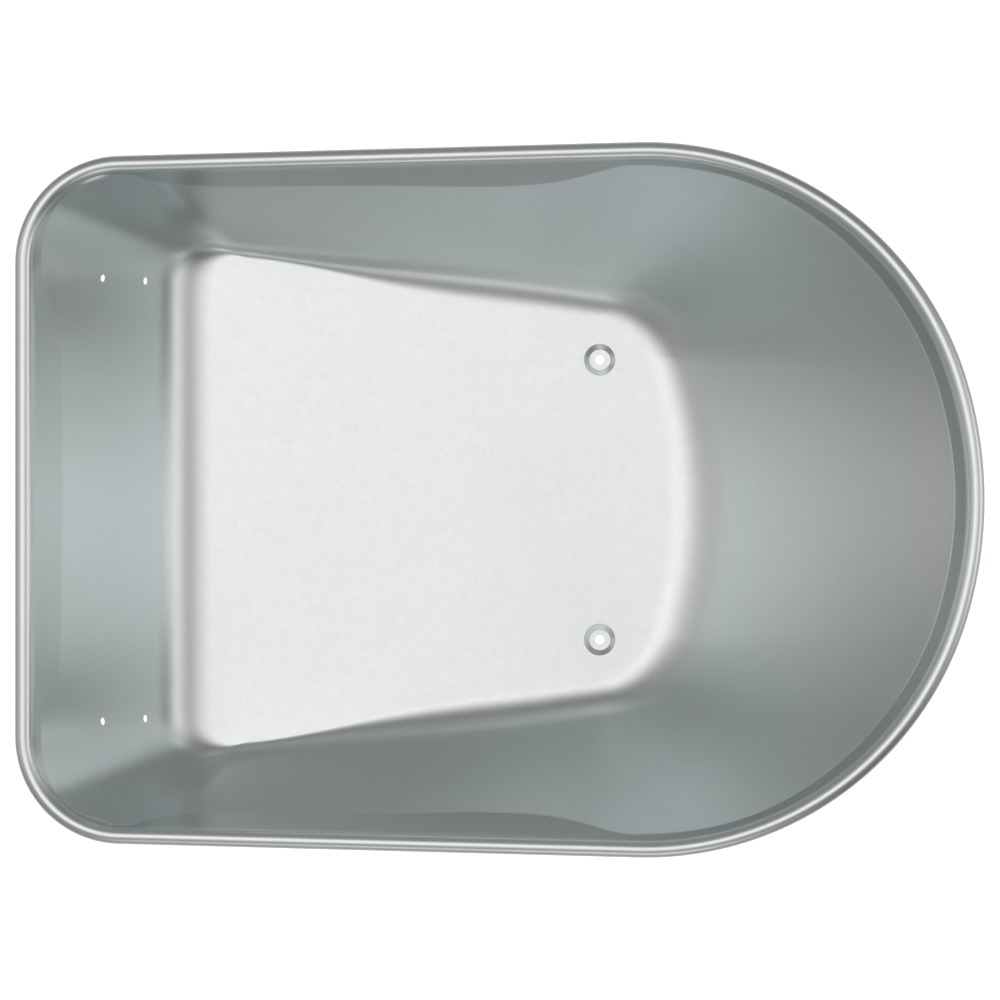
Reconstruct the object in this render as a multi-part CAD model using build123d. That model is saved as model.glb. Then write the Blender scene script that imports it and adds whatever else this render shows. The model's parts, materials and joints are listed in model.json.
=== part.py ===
from build123d import *
import os
from math import atan2, cos, radians, sin

# A pressed steel tray: flat floor, sloping walls that steepen at a crease under the rim, and a
# rim curled outwards around a bent tube. Millimetres, +X towards the rounded nose, +Z up, origin
# under the middle of the tray on the surface that it rests on.

# ---- driving dimensions ----
SHEET = 1.0                # thickness of the sheet
LENGTH = 900.0             # over the rim, rear to nose
REAR_HEIGHT = 200.0        # top of the rim at the rear
NOSE_HEIGHT = 260.0        # top of the rim at the nose
CURL_R = 8.0               # outer radius of the rim curl
RIM_CORNER_R = 92.0        # rear corner, on the rim's centre line
RIM_SHOULDER_R = 302.0     # shoulder arc, on the rim's centre line
RIM_NOSE_R = 376.0         # nose arc, on the rim's centre line
RIM_SIDE_ANGLE = 1.1       # degrees, how far the rim's sides open towards the nose
RIM_NOSE_SWEEP = 16.7      # degrees, half the nose arc

FLOOR_REAR_X = -314.0      # where the planes of floor and walls would meet
FLOOR_NOSE_X = 205.0
FLOOR_CORNER_R = 40.0
FLOOR_SHOULDER_R = 95.0
FLOOR_NOSE_R = 450.0
FLOOR_SIDE_ANGLE = -7.5
FLOOR_NOSE_SWEEP = 17.95
FLOOR_BEND_R = 38.0        # inside radius of the bend between floor and walls

# The crease, from the rear centre to the nose. Where it leaves the rim it is given by points. Where
# it follows the rim it is given by how far it lies in from the rim's inner edge, and how far below.
CREASE_REAR = [(-410.5, 0, 150), (-412, 110, 151), (-417, 176, 160)]
CREASE_CORNER_START = (7.0, 14.0)
CREASE_CORNER_MIDDLE = (1.5, 4.5)
CREASE_CORNER_END = (1.2, 5.0)
CREASE_SIDE = [
    (-326, 301.5, 178), (-290, 297.5, 162), (-185, 297, 158), (-72, 297, 158),
    (23, 297.5, 158), (61, 300.5, 170), (98, 307.5, 195),
]
CREASE_SHOULDER_START = (3.5, 17.0)
CREASE_SHOULDER = {75: (4.0, 16.0), 55: (6.0, 18.0), 35: (7.5, 21.0)}    # by degrees round the arc
CREASE_NOSE = (8.0, 22.0)
CREASE_CORNER_ANGLE = 135.0

DIMPLE_X = 103.5           # the two dimples for the floor bolts
DIMPLE_Y = 139.0
DIMPLE_DEPTH = 3.0
DIMPLE_SEAT_R = 10.5       # flat seat for a bolt head
DIMPLE_MOUTH_R = 15.5
DIMPLE_BEND_R = 1.6
DIMPLE_MARGIN = 4.0        # ring of flat floor that is shaped with the dimple
FLOOR_HOLE_R = 4.5

WALL_HOLE_R = 3.5          # two pairs of holes through the rear wall
WALL_HOLES = [(-378.0, 213.5), (-342.6, 214.3)]
WALL_DRILL = 12.0          # length of the drill that cuts each of them

CORE_R = 6.5               # tube inside the rim curl
CORE_WALL = 1.5
CORE_GAP = 3.0             # between the two ends of the bent tube, at the rear
CURL_SLIT = 0.8            # between the curl's edge and the wall under it
CURL_SLIT_ANGLE = 222.0    # degrees round the curl from its outboard side, over the top
CURL_SLIT_DEPTH = 3.0
LIP_UP = 2.0               # how far the wall runs up inside the curl
LIP_OUT = 0.6

# how far apart two faces of the sheet are in plan, as a share of its thickness
WALL_SPREAD = 1.1
FLOOR_SPREAD = 0.55
DIMPLE_SPREAD = 0.6

TOLERANCE = 1e-6

# ---- derived ----
FLOOR_Z = DIMPLE_DEPTH + SHEET
RIM_RISE = NOSE_HEIGHT - REAR_HEIGHT
RIM_TILT = atan2(RIM_RISE, LENGTH - 2 * CURL_R)
RIM_MID_Z = (REAR_HEIGHT + NOSE_HEIGHT) / 2 - CURL_R
RIM_HALF = (LENGTH / 2 - CURL_R) / cos(RIM_TILT)
RIM_PLANE = Plane(
    origin=(0, 0, RIM_MID_Z),
    x_dir=(cos(RIM_TILT), 0, sin(RIM_TILT)),
    z_dir=(-sin(RIM_TILT), 0, cos(RIM_TILT)),
)


class Outline:
    """Half of a symmetric closed outline: rear edge, corner, side, shoulder and nose, all tangent."""

    def __init__(self, rear_x, nose_x, corner_r, shoulder_r, nose_r, side_angle, nose_sweep):
        self.values = (rear_x, nose_x, corner_r, shoulder_r, nose_r, side_angle, nose_sweep)
        self.radii = (corner_r, shoulder_r, nose_r)
        self.side = 90 + side_angle
        self.sweep = nose_sweep
        self.nose = Vector(nose_x - nose_r, 0)
        self.shoulder = self.nose + polar(nose_r - shoulder_r, nose_sweep)
        across = polar(1, self.side)
        reach = self.shoulder.dot(across) + shoulder_r - corner_r
        corner_x = rear_x + corner_r
        self.corner = Vector(corner_x, (reach - corner_x * across.X) / across.Y)

    def grown(self, by):
        rear_x, nose_x, corner_r, shoulder_r, nose_r, side_angle, nose_sweep = self.values
        return Outline(
            rear_x - by, nose_x + by, corner_r + by, shoulder_r + by, nose_r + by, side_angle, nose_sweep
        )

    def joints(self):
        """The four points of the half outline where one piece meets the next."""
        corner_r, shoulder_r, nose_r = self.radii
        return [
            self.corner + polar(corner_r, 180),
            self.corner + polar(corner_r, self.side),
            self.shoulder + polar(shoulder_r, self.side),
            self.nose + polar(nose_r, self.sweep),
        ]

    def edges(self, rear_gap=0.0):
        """Eight edges, or nine when the rear edge is open by rear_gap, from the rear round to the rear."""
        corner_r, shoulder_r, nose_r = self.radii
        a, b, c, d = self.joints()
        corner_mid = self.corner + polar(corner_r, (180 + self.side) / 2)
        shoulder_mid = self.shoulder + polar(shoulder_r, (self.side + self.sweep) / 2)
        half = [
            ThreePointArc(a, corner_mid, b),
            Line(b, c),
            ThreePointArc(c, shoulder_mid, d),
        ]
        nose = ThreePointArc(d, self.nose + polar(nose_r, 0), flipped(d))
        other = [
            ThreePointArc(flipped(d), flipped(shoulder_mid), flipped(c)),
            Line(flipped(c), flipped(b)),
            ThreePointArc(flipped(b), flipped(corner_mid), flipped(a)),
        ]
        if not rear_gap:
            return [Line(flipped(a), a)] + half + [nose] + other
        start = Vector(a.X, rear_gap / 2)
        return [Line(start, a)] + half + [nose] + other + [Line(flipped(a), flipped(start))]


def polar(length, angle):
    return Vector(length * cos(radians(angle)), length * sin(radians(angle)))


def flipped(point):
    return Vector(point.X, -point.Y, point.Z)


RIM = Outline(
    -RIM_HALF, RIM_HALF, RIM_CORNER_R, RIM_SHOULDER_R, RIM_NOSE_R, RIM_SIDE_ANGLE, RIM_NOSE_SWEEP
)
FLOOR = Outline(
    FLOOR_REAR_X, FLOOR_NOSE_X, FLOOR_CORNER_R, FLOOR_SHOULDER_R, FLOOR_NOSE_R,
    FLOOR_SIDE_ANGLE, FLOOR_NOSE_SWEEP,
)
RIM_INSIDE = RIM.grown(-CURL_R)


def under_rim(point, outwards, inset):
    """The place in from a point of the rim's inner edge and below it; outwards is in degrees."""
    inwards, down = inset
    place = point - polar(inwards, outwards)
    return RIM_PLANE.from_local_coords(Vector(place.X, place.Y)) - Vector(0, 0, down)


def crease_stretches():
    """The crease's points, from the rear round to the rear, in eight lists that share their ends."""
    corner_in, corner_out, shoulder_in, shoulder_out = RIM_INSIDE.joints()
    corner_r, shoulder_r, nose_r = RIM_INSIDE.radii
    turn = RIM_INSIDE.corner + polar(corner_r, CREASE_CORNER_ANGLE)
    start = under_rim(corner_in, 180, CREASE_CORNER_START)
    middle = under_rim(turn, CREASE_CORNER_ANGLE, CREASE_CORNER_MIDDLE)
    end = under_rim(corner_out, 90, CREASE_CORNER_END)
    front = under_rim(shoulder_in, 90, CREASE_SHOULDER_START)
    last = under_rim(shoulder_out, RIM_NOSE_SWEEP, CREASE_NOSE)
    tip = under_rim(RIM_INSIDE.nose + polar(nose_r, 0), 0, CREASE_NOSE)
    bend = [
        under_rim(RIM_INSIDE.shoulder + polar(shoulder_r, angle), angle, inset)
        for angle, inset in CREASE_SHOULDER.items()
    ]
    rear = [Vector(*p) for p in CREASE_REAR] + [start]
    left = [
        [start, middle, end],
        [end, *[Vector(*p) for p in CREASE_SIDE], front],
        [front, *bend, last],
    ]
    right = [mirrored(points) for points in reversed(left)]
    return [mirrored(rear)[:-1] + rear, *left, [last, tip, flipped(last)], *right]


def mirrored(points):
    """The same points on the other side, in the opposite order."""
    return [flipped(p) for p in reversed(points)]


def crease_wire(growth):
    """The crease as a closed wire of eight smooth pieces, moved outwards in plan by growth."""
    stretches = crease_stretches()
    ring = [p for points in stretches for p in points[:-1]]
    count = len(ring)
    along = [(ring[(i + 1) % count] - ring[i - 1]).normalized() for i in range(count)]
    moved = [p + Vector(-t.Y, t.X).normalized() * growth for p, t in zip(ring, along)]
    edges = []
    first = 0
    for points in stretches:
        last = first + len(points) - 1
        path = [moved[i % count] for i in range(first, last + 1)]
        ends = (along[first], along[last % count])
        edges.append(Spline(*path, tangents=ends, tangent_scalars=(1, 1)))
        first = last
    return Wire(edges)


def body(sheet):
    """The space inside the tray as a solid, together with a layer of sheet around it."""
    floor = FLOOR.grown(FLOOR_SPREAD * sheet)
    lip = RIM_INSIDE.grown(LIP_OUT + WALL_SPREAD * sheet)
    bottom = Plane.XY.offset(FLOOR_Z - sheet)
    top = RIM_PLANE.offset(LIP_UP)
    wires = [
        Wire([bottom * e for e in floor.edges()]),
        crease_wire(WALL_SPREAD * sheet),
        Wire([top * e for e in lip.edges()]),
    ]
    solid = Solid.make_loft(wires, ruled=True)
    return solid.fillet(FLOOR_BEND_R + sheet, solid.edges().group_by(Axis.Z)[0])


def along_rim(section, rear_gap=0.0):
    """A section swept round the rim; its X axis points outboard at the rear and its Y axis up."""
    path = Wire([RIM_PLANE * e for e in RIM.edges(rear_gap)])
    start = path.position_at(0)
    place = Plane(origin=start, x_dir=-RIM_PLANE.x_dir, z_dir=path.tangent_at(0))
    return Solid.sweep((place * section).faces()[0], path)


def curl_slit():
    """The narrow gap left where the curl's edge stops short of the wall."""
    at = polar(CURL_R - SHEET / 2, CURL_SLIT_ANGLE)
    blade = Rot(0, 0, CURL_SLIT_ANGLE) * Rectangle(CURL_SLIT_DEPTH, CURL_SLIT)
    return along_rim(Pos(at.X, at.Y) * blade)


def dimple(seat_r, mouth_r, seat_z, mouth_z):
    """A round recess with a flat seat and a flared, bent mouth, turned about the Z axis."""
    edge = mouth_r + DIMPLE_MARGIN
    top = mouth_z + SHEET / 2
    outline = Polyline(
        (0, 0, seat_z), (seat_r, 0, seat_z), (mouth_r, 0, mouth_z), (edge, 0, mouth_z),
        (edge, 0, top), (0, 0, top), close=True,
    )
    half = make_face(outline)
    bends = [v for v in half.vertices() if min(abs(v.X - seat_r), abs(v.X - mouth_r)) < TOLERANCE]
    return revolve(fillet(bends, DIMPLE_BEND_R), Axis.Z)


def wall_hit(inside, spot):
    """The point of the wall's inner face above a spot, and the direction square to it there."""
    hits = inside.find_intersection_points(Axis((spot.X, spot.Y, 0), (0, 0, 1)))
    return min(hits, key=lambda hit: hit[0].Z)


def wall_drills(inside):
    """Drills for the rear wall's holes. Each pair shares the direction square to the wall between."""
    drills = []
    for side in (1, -1):
        spots = [Vector(x, side * y) for x, y in WALL_HOLES]
        _, square = wall_hit(inside, (spots[0] + spots[1]) / 2)
        for spot in spots:
            point, _ = wall_hit(inside, spot)
            drills.append(Plane(origin=point, z_dir=square) * Cylinder(WALL_HOLE_R, WALL_DRILL))
    return drills


def tray_pan():
    inside = body(0)
    curl = along_rim(Circle(CURL_R))
    hollow = along_rim(Circle(CURL_R - SHEET))
    pan = (body(SHEET) - inside + curl) - hollow - curl_slit()
    spots = [Pos(DIMPLE_X, y, 0) for y in (-DIMPLE_Y, DIMPLE_Y)]
    spread = DIMPLE_SPREAD * SHEET
    for spot in spots:
        pan += spot * dimple(DIMPLE_SEAT_R + spread, DIMPLE_MOUTH_R + spread, 0, DIMPLE_DEPTH)
    for spot in spots:
        pan -= spot * dimple(DIMPLE_SEAT_R, DIMPLE_MOUTH_R, SHEET, FLOOR_Z)
        pan -= spot * Cylinder(FLOOR_HOLE_R, 4 * FLOOR_Z)
    for drill in wall_drills(inside):
        pan -= drill
    return pan


def rim_core():
    return along_rim(Circle(CORE_R) - Circle(CORE_R - CORE_WALL), rear_gap=CORE_GAP)


PARTS = {"tray_pan": tray_pan, "rim_core": rim_core}

if __name__ == "__main__":
    os.makedirs("parts", exist_ok=True)
    for name, make in PARTS.items():
        solid = make()
        solid.label = name
        export_step(solid, f"parts/{name}.step")
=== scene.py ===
import json
from math import atan2, cos, radians, sin, tan

import bmesh
import bpy
import numpy as np
from mathutils import Matrix, Vector


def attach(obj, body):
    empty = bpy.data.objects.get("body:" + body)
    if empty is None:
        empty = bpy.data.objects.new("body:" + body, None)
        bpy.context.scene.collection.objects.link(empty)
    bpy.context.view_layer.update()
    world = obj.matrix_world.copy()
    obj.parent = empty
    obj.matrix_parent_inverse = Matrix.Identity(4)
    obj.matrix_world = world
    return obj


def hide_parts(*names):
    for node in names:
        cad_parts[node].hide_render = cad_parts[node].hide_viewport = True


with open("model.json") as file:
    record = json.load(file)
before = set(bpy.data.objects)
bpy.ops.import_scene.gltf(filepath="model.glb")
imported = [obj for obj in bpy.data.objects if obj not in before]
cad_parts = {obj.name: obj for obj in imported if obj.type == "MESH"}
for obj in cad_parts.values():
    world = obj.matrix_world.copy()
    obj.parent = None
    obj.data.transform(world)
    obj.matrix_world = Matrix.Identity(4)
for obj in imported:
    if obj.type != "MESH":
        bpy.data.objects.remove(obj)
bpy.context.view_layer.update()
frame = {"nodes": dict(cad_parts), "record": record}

# ---- the tray's driving sizes, in metres, as the CAD model has them ----
MM = 0.001
SHEET = 1.0 * MM
LENGTH = 900 * MM
REAR_HEIGHT = 200 * MM
NOSE_HEIGHT = 260 * MM
CURL_R = 8 * MM
RIM_CORNER_R, RIM_SHOULDER_R, RIM_NOSE_R = 92 * MM, 302 * MM, 376 * MM
RIM_SIDE_ANGLE, RIM_NOSE_SWEEP = 1.1, 16.7

FLOOR_REAR_X, FLOOR_NOSE_X = -314 * MM, 205 * MM
FLOOR_CORNER_R, FLOOR_SHOULDER_R, FLOOR_NOSE_R = 40 * MM, 95 * MM, 450 * MM
FLOOR_SIDE_ANGLE, FLOOR_NOSE_SWEEP = -7.5, 17.95

DIMPLE_X, DIMPLE_Y = 103.5 * MM, 139 * MM
DIMPLE_DEPTH = 3 * MM
DIMPLE_SEAT_R = 10.5 * MM
DIMPLE_MOUTH_R = 15.5 * MM
DIMPLE_BEND_R = 1.6 * MM
FLOOR_HOLE_R = 4.5 * MM
WALL_HOLE_R = 3.5 * MM
WALL_HOLES = ((-378.0 * MM, 213.5 * MM), (-342.6 * MM, 214.3 * MM))
DRILL_LENGTH = 12 * MM

FLOOR_Z = DIMPLE_DEPTH + SHEET
RIM_TILT = atan2(NOSE_HEIGHT - REAR_HEIGHT, LENGTH - 2 * CURL_R)
RIM_MID_Z = (REAR_HEIGHT + NOSE_HEIGHT) / 2 - CURL_R
RIM_HALF = (LENGTH / 2 - CURL_R) / cos(RIM_TILT)
RIM_X = np.array([cos(RIM_TILT), 0, sin(RIM_TILT)])
RIM_UP = np.array([-sin(RIM_TILT), 0, cos(RIM_TILT)])

# the bend between floor and walls; the crease's rounding to each side, and at most what share of the
# band it takes; the half turn, in radians, under which a corner stays straight; the curl's sweep
BEND_REAR, BEND_SIDE, BEND_NOSE = 60 * MM, 40 * MM, 85 * MM
CREASE_REACH = 2.5 * MM
CREASE_SHARE = 0.4
NO_TURN = 1e-4
CURL_FROM, CURL_TO = 180, -138

# the crease under the rim, from rear to nose. Where it runs close to the rim, a pair says how far it
# is inside the rim and how far below, in mm; START goes forward along the rim instead of inwards
MID_CORNER = 135
CREASE_START = (7, 14)
CREASE_MIDDLE = (1.5, 4.5)
CREASE_END = (1.2, 5)
CREASE_SIDE_END = (3.5, 17)
CREASE_SHOULDER = {75: (4, 16), 55: (6, 18), 35: (7.5, 21)}
CREASE_NOSE = (8, 22)
# where it runs down the walls, its points are in mm in the tray's own frame
CREASE_REAR_WALL = ((-410.5, 0, 150), (-412, 110, 151), (-417, 176, 160))
CREASE_SIDE_WALL = (
    (-326, 301.5, 178), (-290, 297.5, 162), (-185, 297, 158), (-72, 297, 158),
    (23, 297.5, 158), (61, 300.5, 170), (98, 307.5, 195),
)

# how finely the mesh is divided, round the tray and from floor to curl
STEPS = {"rear": 38, "corner": 26, "side": 72, "shoulder": 52, "nose": 18}
BEND_STEPS, WALL_STEPS, CREASE_STEPS, BAND_STEPS, CURL_STEPS = 14, 26, 4, 7, 46
DIMPLE_STEPS_ROUND, DIMPLE_BEND_STEPS = 72, 6
DIMPLE_OUTER_RINGS = (22 * MM, 19 * MM)
DIMPLE_INNER_RINGS = (2.5 * MM, 0.8 * MM, 0)
DRILL_STEPS = 64
SMOOTH_BELOW = radians(38)

# the band between crease and rim: its points in each profile, and how much painted shade darkens its
# colour where a stretch starts and ends
BAND = "band"
BAND_PAINTED_SHADE = {
    "rear": (0.1, 0.3), "corner": (0.3, 0.35), "side": (0.35, 0.35),
    "shoulder": (0.35, 0.75), "nose": (0.75, 0.85),
}
BAND_FROM = BEND_STEPS + WALL_STEPS + CREASE_STEPS // 2 + 1
BAND_TO = BEND_STEPS + WALL_STEPS + CREASE_STEPS + BAND_STEPS

# the zinc's colours, and its textures' scales in cells or waves to the metre
ZINC_DULL = (0.785, 0.85, 0.845, 1)
ZINC_BRIGHT = (0.805, 0.87, 0.865, 1)
# painted shade: the dark colour mixed into the band between crease and rim
PAINTED_BAND_SHADE = (0.375, 0.405, 0.40, 1)
ZINC_ROUGHNESS = (0.325, 0.345)
CRYSTALS, CLOUDS, GRAIN = 170, 9, 1600
GRAIN_STRETCH = (0.12, 1, 1)
CRYSTAL_SHARE = 0.4
CLOUD_DETAIL = 5
ZINC_TONES = (0.35, 1.05)
ZINC_RELIEF = 0.04
TUBE_DARK, TUBE_LIGHT = (0.36, 0.36, 0.37, 1), (0.52, 0.52, 0.53, 1)
TUBE_ROUGHNESS = (0.3, 0.5)
TUBE_PATCHES, TUBE_LINES = 25, 900
PATCH_DETAIL = 6
TUBE_TONES = (0.3, 0.7)
TUBE_RELIEF = 0.1
GRAIN_DEPTH = 0.02 * MM

# the studio's soft lights: degrees from straight above, heading, brightness, and how fast they fade
SOFT_LIGHTS = {
    "above": (0, 0, 0.42, 22),
    "above_nose": (20, 0, 0.67, 22),
    "above_left": (20, 60, 0.42, 22),
    "above_rear_left": (20, 120, 0.5, 22),
    "above_rear": (20, 180, 0.93, 22),
    "above_right": (20, 240, 0.35, 22),
    "high_rear": (42, 165, 0.35, 22),
    "nose": (68, 0, 1.25, 12),
    "nose_left": (68, 45, 0.2, 12),
    "left": (68, 90, 0.3, 12),
    "rear_left": (68, 135, 0.27, 12),
    "rear": (68, 180, 0.55, 12),
    "rear_right": (68, 225, 0.26, 12),
    "right": (68, 270, 0.64, 12),
    "nose_right": (68, 315, 0.05, 12),
    "high_right": (44, 270, 0.1, 40),
    "low_right": (64, 270, 0.9, 80),
    "floor": (180, 0, 0.8, 0.7),
}
LIGHT_COLOUR = (1.07, 1.0, 1.01, 1)
PAPER_COLOUR = (0.9, 0.9, 0.9, 1)
PAPER_ROUGHNESS = 0.9
PAPER_GLOW = 0.85
PAPER_R = 14.0
PAPER_STEPS = 96
CAMERA_PLACE = (0.0044, -0.0002, 3.365)
CAMERA_LENS = 121.9


def polar(length, angle):
    return np.array([length * cos(radians(angle)), length * sin(radians(angle))])


class Outline:
    """Half of a symmetric closed outline: rear edge, corner, side, shoulder and nose, all tangent."""

    def __init__(self, rear_x, nose_x, corner_r, shoulder_r, nose_r, side_angle, nose_sweep):
        self.radii = (corner_r, shoulder_r, nose_r)
        self.side, self.sweep = 90 + side_angle, nose_sweep
        self.nose = np.array([nose_x - nose_r, 0])
        self.shoulder = self.nose + polar(nose_r - shoulder_r, nose_sweep)
        across = polar(1, self.side)
        reach = self.shoulder @ across + shoulder_r - corner_r
        corner_x = rear_x + corner_r
        self.corner = np.array([corner_x, (reach - corner_x * across[0]) / across[1]])

    def at(self, stretch, t):
        """The point at share t of a stretch, and the direction straight out of the outline there."""
        corner_r, shoulder_r, nose_r = self.radii
        if stretch == "rear":
            return np.array([self.corner[0] - corner_r, t * self.corner[1]]), polar(1, 180)
        if stretch == "side":
            out = polar(1, self.side)
            start, end = self.corner + corner_r * out, self.shoulder + shoulder_r * out
            return start + t * (end - start), out
        centre, radius, first, last = {
            "corner": (self.corner, corner_r, 180, self.side),
            "shoulder": (self.shoulder, shoulder_r, self.side, self.sweep),
            "nose": (self.nose, nose_r, self.sweep, 0),
        }[stretch]
        out = polar(1, first + t * (last - first))
        return centre + radius * out, out


RIM_INSIDE = Outline(
    -RIM_HALF + CURL_R, RIM_HALF - CURL_R,
    RIM_CORNER_R - CURL_R, RIM_SHOULDER_R - CURL_R, RIM_NOSE_R - CURL_R,
    RIM_SIDE_ANGLE, RIM_NOSE_SWEEP,
)
FLOOR = Outline(
    FLOOR_REAR_X, FLOOR_NOSE_X,
    FLOOR_CORNER_R, FLOOR_SHOULDER_R, FLOOR_NOSE_R,
    FLOOR_SIDE_ANGLE, FLOOR_NOSE_SWEEP,
)


def on_rim(point, drop=0.0):
    """The place drop below a point drawn on the rim's plane."""
    return point[0] * RIM_X + np.array([0, point[1], RIM_MID_Z - drop])


def under_arc(centre, radius, angle, inside_and_below):
    """A crease point under one of the rim's arcs."""
    inside, below = inside_and_below
    return on_rim(centre + polar(radius - inside * MM, angle), below * MM)


def under_joint(stretch, forward, inside, below):
    """A crease point beside the place where a stretch of the rim starts."""
    joint, _ = RIM_INSIDE.at(stretch, 0)
    return on_rim(joint + np.array([forward, -inside]) * MM, below * MM)


def crease_points():
    """The crease from the rear centre to the nose, in five lists that share their end points."""
    corner_r, shoulder_r, nose_r = RIM_INSIDE.radii
    rear_wall = [np.array(p) * MM for p in CREASE_REAR_WALL]
    side_wall = [np.array(p) * MM for p in CREASE_SIDE_WALL]
    start = under_joint("corner", CREASE_START[0], 0, CREASE_START[1])
    turn = under_arc(RIM_INSIDE.corner, corner_r, MID_CORNER, CREASE_MIDDLE)
    finish = under_joint("side", 0, *CREASE_END)
    front = under_joint("shoulder", 0, *CREASE_SIDE_END)
    bend = [under_arc(RIM_INSIDE.shoulder, shoulder_r, a, v) for a, v in CREASE_SHOULDER.items()]
    end = under_arc(RIM_INSIDE.nose, nose_r, RIM_INSIDE.sweep, CREASE_NOSE)
    tip = under_arc(RIM_INSIDE.nose, nose_r, 0, CREASE_NOSE)
    return {
        "rear": [*rear_wall, start],
        "corner": [start, turn, finish],
        "side": [finish, *side_wall, front],
        "shoulder": [front, *bend, end],
        "nose": [end, tip],
    }


def unit(v):
    return v / np.linalg.norm(v)


def spline(points, first, last):
    """A smooth curve through points with unit end directions, as a function of the share along it."""
    points = np.array(points)
    gaps = np.linalg.norm(np.diff(points, axis=0), axis=1)
    knots = np.r_[0, np.cumsum(gaps)]
    n = len(points)
    a, b = np.zeros((n, n)), np.zeros((n, 3))
    a[0, 0] = a[-1, -1] = 1
    b[0], b[-1] = first, last
    for i in range(1, n - 1):
        a[i, i - 1 : i + 2] = gaps[i], 2 * (gaps[i - 1] + gaps[i]), gaps[i - 1]
        slopes = np.diff(points[i - 1 : i + 2], axis=0) / gaps[i - 1 : i + 1, None]
        b[i] = 3 * (gaps[i] * slopes[0] + gaps[i - 1] * slopes[1])
    speeds = np.linalg.solve(a, b)

    def at(t):
        u = t * knots[-1]
        i = min(max(int(np.searchsorted(knots, u, side="right")) - 1, 0), n - 2)
        h, s = gaps[i], (u - knots[i]) / gaps[i]
        weights = (2 * s**3 - 3 * s**2 + 1, h * (s**3 - 2 * s**2 + s), 3 * s**2 - 2 * s**3, h * (s**3 - s**2))
        return sum(w * v for w, v in zip(weights, (points[i], speeds[i], points[i + 1], speeds[i + 1])))

    return at


def crease_curves():
    """One curve for each stretch of the crease, smooth where they meet and square to the middle plane."""
    lists = crease_points()
    names = list(lists)
    sideways = np.array([0, 1, 0])
    ends = {}
    for one, two in zip(names, names[1:]):
        ends[one] = unit(lists[two][1] - lists[one][-2])
    curves = {}
    for i, name in enumerate(names):
        first = sideways if i == 0 else ends[names[i - 1]]
        last = -sideways if i == len(names) - 1 else ends[name]
        curves[name] = spline(lists[name], first, last)
    return curves


def arc_between(corner, back, ahead, reach, steps):
    """Points of the arc that rounds a corner between two unit directions, reach away along each."""
    start, end = corner + back * reach, corner + ahead * reach
    half = np.arccos(np.clip(-back @ ahead, -1, 1)) / 2
    if half < NO_TURN:
        return [start + (end - start) * i / steps for i in range(steps + 1)]
    radius = reach / tan(half)
    middle = corner + unit(back + ahead) * (radius / cos(half))
    u = unit(start - middle)
    v = unit((end - middle) - ((end - middle) @ u) * u)
    return [middle + radius * (cos(a) * u + sin(a) * v) for a in np.linspace(0, 2 * half, steps + 1)]


def smooth(t):
    t = min(max(t, 0), 1)
    return t * t * (3 - 2 * t)


def bend_radius(stretch, t):
    """The floor bend is wide at the rear and the nose, and tighter along the sides."""
    if stretch == "rear":
        return BEND_REAR
    if stretch == "corner":
        return BEND_REAR + (BEND_SIDE - BEND_REAR) * smooth(t)
    if stretch == "side":
        return BEND_SIDE
    if stretch == "shoulder":
        return BEND_SIDE + (BEND_NOSE - BEND_SIDE) * smooth(t)
    return BEND_NOSE


def profile(stretch, t, curve):
    """The sheet's inner face from the floor's edge, up the wall and round the curl, at one station."""
    floor_xy, _ = FLOOR.at(stretch, t)
    rim_xy, out_xy = RIM_INSIDE.at(stretch, t)
    foot = np.array([*floor_xy, FLOOR_Z])
    crease = curve(t)
    lip = on_rim(rim_xy)
    up = unit(crease - foot)
    inward = unit(np.array([-up[0], -up[1], 0]))
    turn = np.arccos(np.clip(-inward @ up, -1, 1))
    bend = arc_between(foot, inward, up, bend_radius(stretch, t) * tan(turn / 2), BEND_STEPS)
    band = unit(lip - crease)
    reach = min(CREASE_REACH, CREASE_SHARE * np.linalg.norm(lip - crease))
    fold = arc_between(crease, -up, band, reach, CREASE_STEPS)
    wall = [bend[-1] + (fold[0] - bend[-1]) * i / WALL_STEPS for i in range(1, WALL_STEPS)]
    strip = [fold[-1] + (lip - fold[-1]) * i / BAND_STEPS for i in range(1, BAND_STEPS)]
    out = out_xy[0] * RIM_X + np.array([0, out_xy[1], 0])
    centre = lip + CURL_R * out
    angles = np.radians(np.linspace(CURL_FROM, CURL_TO, CURL_STEPS + 1))
    curl = [centre + CURL_R * (cos(a) * out + sin(a) * RIM_UP) for a in angles]
    return bend + wall + fold + strip + curl


def stations():
    """The profiles once round the tray, each an array of points, and how strong the painted shade in the band
    is at each.
    """
    curves = crease_curves()
    half, band_shading = [], []
    for stretch, steps in STEPS.items():
        first, last = BAND_PAINTED_SHADE[stretch]
        for i in range(steps + 1 if stretch == "nose" else steps):
            half.append(profile(stretch, i / steps, curves[stretch]))
            band_shading.append(first + (last - first) * i / steps)
    half = np.array(half)
    other = half[-2:0:-1] * np.array([1, -1, 1])
    return np.concatenate([half, other]), band_shading + band_shading[-2:0:-1]


def dimple_profile():
    """Radius and height of a dimple from the flat floor inwards to the edge of its hole."""
    seat_z = FLOOR_Z - DIMPLE_DEPTH
    slope = unit(np.array([DIMPLE_SEAT_R - DIMPLE_MOUTH_R, seat_z - FLOOR_Z]))
    level = np.array([1.0, 0.0])
    turn = np.arccos(-slope[0])
    reach = DIMPLE_BEND_R * tan(turn / 2)
    mouth = arc_between(np.array([DIMPLE_MOUTH_R, FLOOR_Z]), level, slope, reach, DIMPLE_BEND_STEPS)
    seat = arc_between(np.array([DIMPLE_SEAT_R, seat_z]), -slope, -level, reach, DIMPLE_BEND_STEPS)
    outer = [np.array([r, FLOOR_Z]) for r in DIMPLE_OUTER_RINGS]
    inner = [np.array([FLOOR_HOLE_R + r, seat_z]) for r in DIMPLE_INNER_RINGS]
    return outer + mouth + seat + inner


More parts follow.
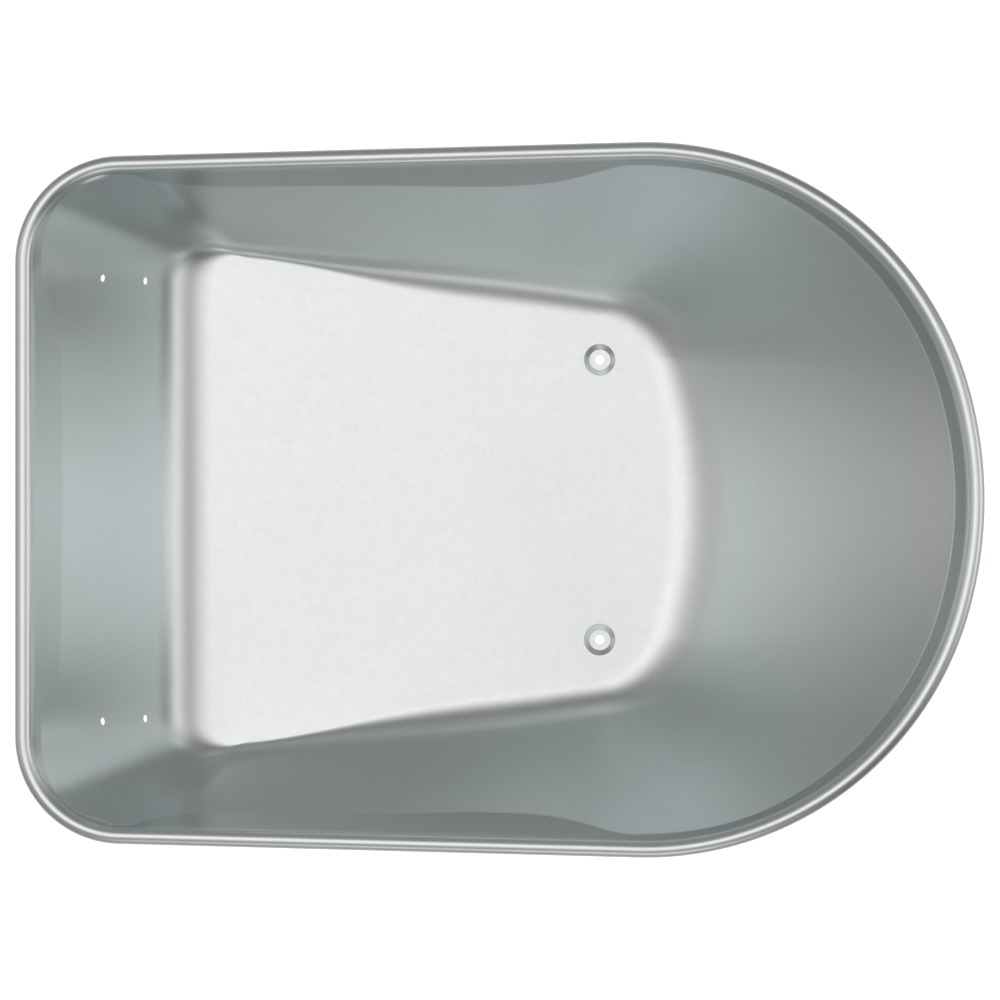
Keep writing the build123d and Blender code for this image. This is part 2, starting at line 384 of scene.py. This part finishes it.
def add_dimple(bm, centre_y):
    """A dimple's rings of faces. Returns the edges of its outermost ring."""
    around = DIMPLE_STEPS_ROUND
    rings = []
    for radius, height in dimple_profile():
        ring = []
        for i in range(around):
            x, y = polar(radius, 360 * i / around)
            ring.append(bm.verts.new((DIMPLE_X + x, centre_y + y, height)))
        rings.append(ring)
    for outer, inner in zip(rings, rings[1:]):
        for i in range(around):
            j = (i + 1) % around
            bm.faces.new((outer[i], outer[j], inner[j], inner[i]))
    return [bm.edges.get((rings[0][i], rings[0][i - 1])) for i in range(around)]


def height_of(face):
    return face.calc_center_median().z


def sheet_mesh():
    """The tray as one surface without thickness: floor with its dimples, walls and curl."""
    bm = bmesh.new()
    painted_shade_mask = bm.verts.layers.float.new(BAND)
    lines, band_shading = stations()
    grid = [[bm.verts.new(p) for p in line] for line in lines]
    # the band's vertices carry how strong the painted shade under the rim is
    for line, share in zip(grid, band_shading):
        for vert in line[BAND_FROM:BAND_TO]:
            vert[painted_shade_mask] = share
    for line, after in zip(grid, grid[1:] + grid[:1]):
        for j in range(len(line) - 1):
            bm.faces.new((line[j], line[j + 1], after[j + 1], after[j]))
    edge = [bm.edges.get((a[0], b[0])) for a, b in zip(grid, grid[1:] + grid[:1])]
    for y in (-DIMPLE_Y, DIMPLE_Y):
        edge += add_dimple(bm, y)
    bmesh.ops.triangle_fill(bm, use_beauty=True, use_dissolve=False, edges=edge)
    bmesh.ops.recalc_face_normals(bm, faces=bm.faces)
    lowest = min(bm.faces, key=height_of)
    if lowest.normal.z < 0:
        bmesh.ops.reverse_faces(bm, faces=bm.faces)
    mesh = bpy.data.meshes.new("tray_sheet")
    bm.to_mesh(mesh)
    bm.free()
    return mesh


def add_object(name, mesh):
    obj = bpy.data.objects.new(name, mesh)
    bpy.context.scene.collection.objects.link(obj)
    return obj


def apply_modifiers(obj):
    """Keep the object's shape as its modifiers leave it."""
    depsgraph = bpy.context.evaluated_depsgraph_get()
    mesh = bpy.data.meshes.new_from_object(obj.evaluated_get(depsgraph))
    obj.modifiers.clear()
    obj.data = mesh


def drill_at(spot, axis):
    """A round cutter for one of the wall's holes."""
    bm = bmesh.new()
    bmesh.ops.create_cone(
        bm, cap_ends=True, segments=DRILL_STEPS, radius1=WALL_HOLE_R, radius2=WALL_HOLE_R, depth=DRILL_LENGTH
    )
    turn = axis.to_track_quat("Z", "Y").to_matrix().to_4x4()
    bm.transform(Matrix.Translation(spot) @ turn)
    mesh = bpy.data.meshes.new("drill")
    bm.to_mesh(mesh)
    bm.free()
    return add_object("drill", mesh)


def wall_drills():
    """The four drills for the rear wall's holes, along the record's two mounts."""
    drills = []
    for mount in frame["record"]["mounts"]:
        if not mount["name"].startswith("rear_wall_bolts"):
            continue
        centre, axis = Vector(mount["pos_m"]), Vector(mount["axis"]).normalized()
        side = 1 if centre.y > 0 else -1
        for x, y in WALL_HOLES:
            off = Vector((x - centre.x, side * y - centre.y, 0))
            off.z = -off.dot(axis) / axis.z
            drills.append(drill_at(centre + off, axis))
    return drills


def make_tray():
    """The tray: the bare surface given its thickness outwards, then drilled."""
    tray = add_object("pressed_tray", sheet_mesh())
    thick = tray.modifiers.new("thickness", "SOLIDIFY")
    thick.thickness = SHEET
    thick.offset = -1
    thick.use_even_offset = True
    apply_modifiers(tray)
    drills = wall_drills()
    for drill in drills:
        cut = tray.modifiers.new("hole", "BOOLEAN")
        cut.operation = "DIFFERENCE"
        cut.solver = "EXACT"
        cut.object = drill
    apply_modifiers(tray)
    for drill in drills:
        bpy.data.objects.remove(drill)
    tray.data.shade_smooth()
    tray.data.set_sharp_from_angle(angle=SMOOTH_BELOW)
    return tray


def new_material(name):
    """A material with node and link makers, and its shader."""
    material = bpy.data.materials.new(name)
    material.use_nodes = True
    tree = material.node_tree
    return material, tree.nodes.new, tree.links.new, tree.nodes["Principled BSDF"]


def ranged(node, link, value, low, high, from_low=0.0, from_high=1.0):
    """A value mapped to a range."""
    span = node("ShaderNodeMapRange")
    for name, number in (("From Min", from_low), ("From Max", from_high), ("To Min", low), ("To Max", high)):
        span.inputs[name].default_value = number
    link(value, span.inputs["Value"])
    return span.outputs["Result"]


def texture(node, link, kind, place, scale, detail=2):
    """A texture node over a place."""
    pattern = node(kind)
    pattern.inputs["Scale"].default_value = scale
    if kind == "ShaderNodeTexNoise":
        pattern.inputs["Detail"].default_value = detail
    link(place, pattern.inputs["Vector"])
    return pattern


def roughen(node, link, shader, height, strength):
    """Fine relief on a shader's surface."""
    bump = node("ShaderNodeBump")
    bump.inputs["Strength"].default_value = strength
    bump.inputs["Distance"].default_value = GRAIN_DEPTH
    link(height, bump.inputs["Height"])
    link(bump.outputs["Normal"], shader.inputs["Normal"])


def galvanised():
    """Satin zinc: crystals a few millimetres wide, faint clouds and the sheet's fine rolled grain, with
    painted shade in the band under the rim.
    """
    material, node, link, shader = new_material("zinc_sheet")
    place = node("ShaderNodeTexCoord").outputs["Object"]
    along = node("ShaderNodeMapping")
    along.inputs["Scale"].default_value = GRAIN_STRETCH
    link(place, along.inputs["Vector"])
    crystals = texture(node, link, "ShaderNodeTexVoronoi", place, CRYSTALS)
    clouds = texture(node, link, "ShaderNodeTexNoise", place, CLOUDS, CLOUD_DETAIL)
    grain = texture(node, link, "ShaderNodeTexNoise", along.outputs["Vector"], GRAIN)

    facet = node("ShaderNodeSeparateColor")
    link(crystals.outputs["Color"], facet.inputs["Color"])
    tone = node("ShaderNodeMath")
    tone.operation = "MULTIPLY_ADD"
    tone.inputs[1].default_value = CRYSTAL_SHARE
    link(facet.outputs["Red"], tone.inputs[0])
    link(clouds.outputs["Fac"], tone.inputs[2])
    colour = node("ShaderNodeMix")
    colour.data_type = "RGBA"
    colour.inputs["A"].default_value = ZINC_DULL
    colour.inputs["B"].default_value = ZINC_BRIGHT
    link(ranged(node, link, tone.outputs[0], 0, 1, *ZINC_TONES), colour.inputs["Factor"])
    # painted shade: the band under the rim gets a darker colour mixed in, more at the nose than at the rear
    painted_shade_mask = node("ShaderNodeAttribute")
    painted_shade_mask.attribute_name = BAND
    band_shaded = node("ShaderNodeMix")
    band_shaded.data_type = "RGBA"
    band_shaded.inputs["B"].default_value = PAINTED_BAND_SHADE
    link(painted_shade_mask.outputs["Fac"], band_shaded.inputs["Factor"])
    link(colour.outputs["Result"], band_shaded.inputs["A"])
    link(band_shaded.outputs["Result"], shader.inputs["Base Color"])

    shader.inputs["Metallic"].default_value = 1.0
    link(ranged(node, link, facet.outputs["Green"], *ZINC_ROUGHNESS), shader.inputs["Roughness"])
    roughen(node, link, shader, grain.outputs["Fac"], ZINC_RELIEF)
    return material


def tube_steel():
    """The rim's bent tube: plain drawn steel with lines along the draw and dull patches."""
    material, node, link, shader = new_material("tube_steel")
    place = node("ShaderNodeTexCoord").outputs["Object"]
    patches = texture(node, link, "ShaderNodeTexNoise", place, TUBE_PATCHES, PATCH_DETAIL)
    lines = texture(node, link, "ShaderNodeTexNoise", place, TUBE_LINES)
    colour = node("ShaderNodeMix")
    colour.data_type = "RGBA"
    colour.inputs["A"].default_value = TUBE_DARK
    colour.inputs["B"].default_value = TUBE_LIGHT
    link(ranged(node, link, patches.outputs["Fac"], 0, 1, *TUBE_TONES), colour.inputs["Factor"])
    link(colour.outputs["Result"], shader.inputs["Base Color"])
    shader.inputs["Metallic"].default_value = 1.0
    link(ranged(node, link, lines.outputs["Fac"], *TUBE_ROUGHNESS), shader.inputs["Roughness"])
    roughen(node, link, shader, lines.outputs["Fac"], TUBE_RELIEF)
    return material


def make_floor():
    """White studio paper, which keeps its own glow out of the zinc."""
    bm = bmesh.new()
    bmesh.ops.create_circle(bm, cap_ends=True, segments=PAPER_STEPS, radius=PAPER_R)
    mesh = bpy.data.meshes.new("studio_floor")
    bm.to_mesh(mesh)
    bm.free()
    floor = add_object("studio_floor", mesh)
    paper = bpy.data.materials.new("studio_paper")
    paper.use_nodes = True
    shader = paper.node_tree.nodes["Principled BSDF"]
    shader.inputs["Base Color"].default_value = PAPER_COLOUR
    shader.inputs["Roughness"].default_value = PAPER_ROUGHNESS
    shader.inputs["Emission Color"].default_value = (1, 1, 1, 1)
    shader.inputs["Emission Strength"].default_value = PAPER_GLOW
    mesh.materials.append(paper)
    floor.visible_glossy = False


def soft_patch(node, link, place, from_above, heading, strength, spread):
    """One soft light's share of the room's light: brightest in its own direction, fading round it."""
    toward = node("ShaderNodeVectorMath")
    toward.operation = "DOT_PRODUCT"
    x, y = polar(sin(radians(from_above)), heading)
    toward.inputs[1].default_value = (x, y, cos(radians(from_above)))
    link(place, toward.inputs[0])
    facing = node("ShaderNodeMath")
    facing.operation = "MAXIMUM"
    facing.inputs[1].default_value = 0
    link(toward.outputs["Value"], facing.inputs[0])
    fading = node("ShaderNodeMath")
    fading.operation = "POWER"
    fading.inputs[1].default_value = spread
    link(facing.outputs[0], fading.inputs[0])
    share = node("ShaderNodeMath")
    share.operation = "MULTIPLY"
    share.inputs[1].default_value = strength
    link(fading.outputs[0], share.inputs[0])
    return share.outputs[0]


def make_world():
    """A studio lit by large soft lights, which blend into each other."""
    world = bpy.data.worlds.new("studio")
    world.use_nodes = True
    tree = world.node_tree
    node, link = tree.nodes.new, tree.links.new
    place = node("ShaderNodeTexCoord").outputs["Generated"]
    total = None
    for from_above, heading, strength, spread in SOFT_LIGHTS.values():
        patch = soft_patch(node, link, place, from_above, heading, strength, spread)
        if total is None:
            total = patch
            continue
        both = node("ShaderNodeMath")
        both.operation = "ADD"
        link(total, both.inputs[0])
        link(patch, both.inputs[1])
        total = both.outputs[0]
    background = tree.nodes["Background"]
    background.inputs["Color"].default_value = LIGHT_COLOUR
    link(total, background.inputs["Strength"])
    bpy.context.scene.world = world


def make_camera():
    """Straight above the tray, looking down."""
    data = bpy.data.cameras.new("camera")
    data.sensor_width = 36
    data.lens = CAMERA_LENS
    data.clip_end = 50
    camera = add_object("camera", data)
    camera.location = CAMERA_PLACE
    bpy.context.scene.camera = camera


bpy.context.scene.view_settings.view_transform = "Standard"
make_camera()
make_floor()
make_world()
tray = make_tray()
tray.data.materials.clear()
tray.data.materials.append(galvanised())
core = frame["nodes"]["rim_core"]
core.data.materials.clear()
core.data.materials.append(tube_steel())
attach(tray, "root")
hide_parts("tray_pan")
